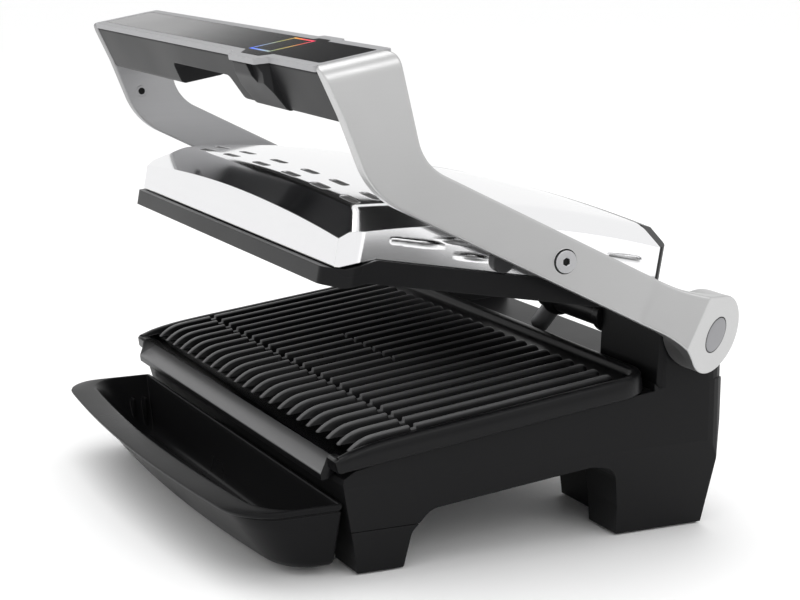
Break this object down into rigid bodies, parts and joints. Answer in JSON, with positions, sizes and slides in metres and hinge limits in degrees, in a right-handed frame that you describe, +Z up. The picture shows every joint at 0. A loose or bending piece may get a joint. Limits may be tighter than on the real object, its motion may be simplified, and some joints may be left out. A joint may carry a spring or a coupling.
{
  "type": "contact grill",
  "caption": "Electric indoor contact grill: ribbed upper and lower plates, polished lid carried on two metal side arms joined by a handle, black base with a drip tray in front.",
  "frame": {"origin": "on the table, at the middle of the overall width and of the overall length with the lid raised", "axes": "+Z up, +X to the user's right, -Y toward the user, who stands in front of the drip tray"},
  "size_m": [0.372, 0.299, 0.2667],
  "materials": {
    "base_plastic": "fine matt texture",
    "rubber": "matt",
    "steel": "satin",
    "reflector": "aluminised sheet",
    "element": "heat-darkened tube",
    "arm_metal": "finely brushed",
    "cap_grey": "satin",
    "grip_plastic": "fine matt texture",
    "bezel": "satin grey",
    "panel_glass": "gloss",
    "light": "translucent light guide",
    "lid_metal": "polished steel sheet",
    "lid_plastic": "semi-gloss",
    "plate_coat": "non-stick coating",
    "tray_plastic": "semi-gloss",
    "sleeve": "braided sleeve",
    "button": "satin"
  },
  "bodies": {
    "base": {"base_shell": "base_plastic", "base_bottom": "base_plastic", "base_screws": "steel", "rubber_feet": "rubber", "cord_gland": "rubber", "lower_reflector": "reflector", "lower_element": "element", "element_clips": "steel", "hinge_pins": "steel", "hinge_bushes": "base_plastic", "wire_duct": "lid_plastic", "wire_sleeve": "sleeve", "lower_plate": "plate_coat"},
    "arms": {"arm_right": "arm_metal", "arm_left": "arm_metal", "hub_cap_right": "cap_grey", "hub_cap_left": "cap_grey", "pivot_pins": "steel", "arm_screws": "steel", "handle_shell": "grip_plastic", "handle_top": "bezel", "display_panel": "panel_glass", "indicator_ring": "light"},
    "head": {"lid_cover": "lid_metal", "lid_rear": "lid_plastic", "lid_frame": "lid_plastic", "upper_reflector": "reflector", "upper_element": "element", "upper_plate": "plate_coat"},
    "button": {"release_button": "button"},
    "tray": {"drip_tray": "tray_plastic"}
  },
  "joints": [
    {"name": "arms_hinge", "type": "hinge", "parent": "base", "child": "arms", "pos_m": [0, 0.117, 0.112], "axis": [-1, 0, 0], "range_deg": [-28, 62]},
    {"name": "head_pivot", "type": "hinge", "parent": "arms", "child": "head", "pos_m": [0, 0.02214, 0.1593], "axis": [-1, 0, 0], "range_deg": [-24.67, 11.3]},
    {"name": "release_press", "type": "slide", "parent": "head", "child": "button", "axis": [-1, 0, 0], "range_m": [0, 0.0022], "stiffness_N_per_m": 900, "springref_m": -0.0006},
    {"name": "tray_slide", "type": "slide", "parent": "base", "child": "tray", "axis": [0, -1, 0], "range_m": [0, 0.12]}
  ],
  "couplings": [
    {"joint": "head_pivot", "follows": "arms_hinge", "ratio": -0.393}
  ]
}
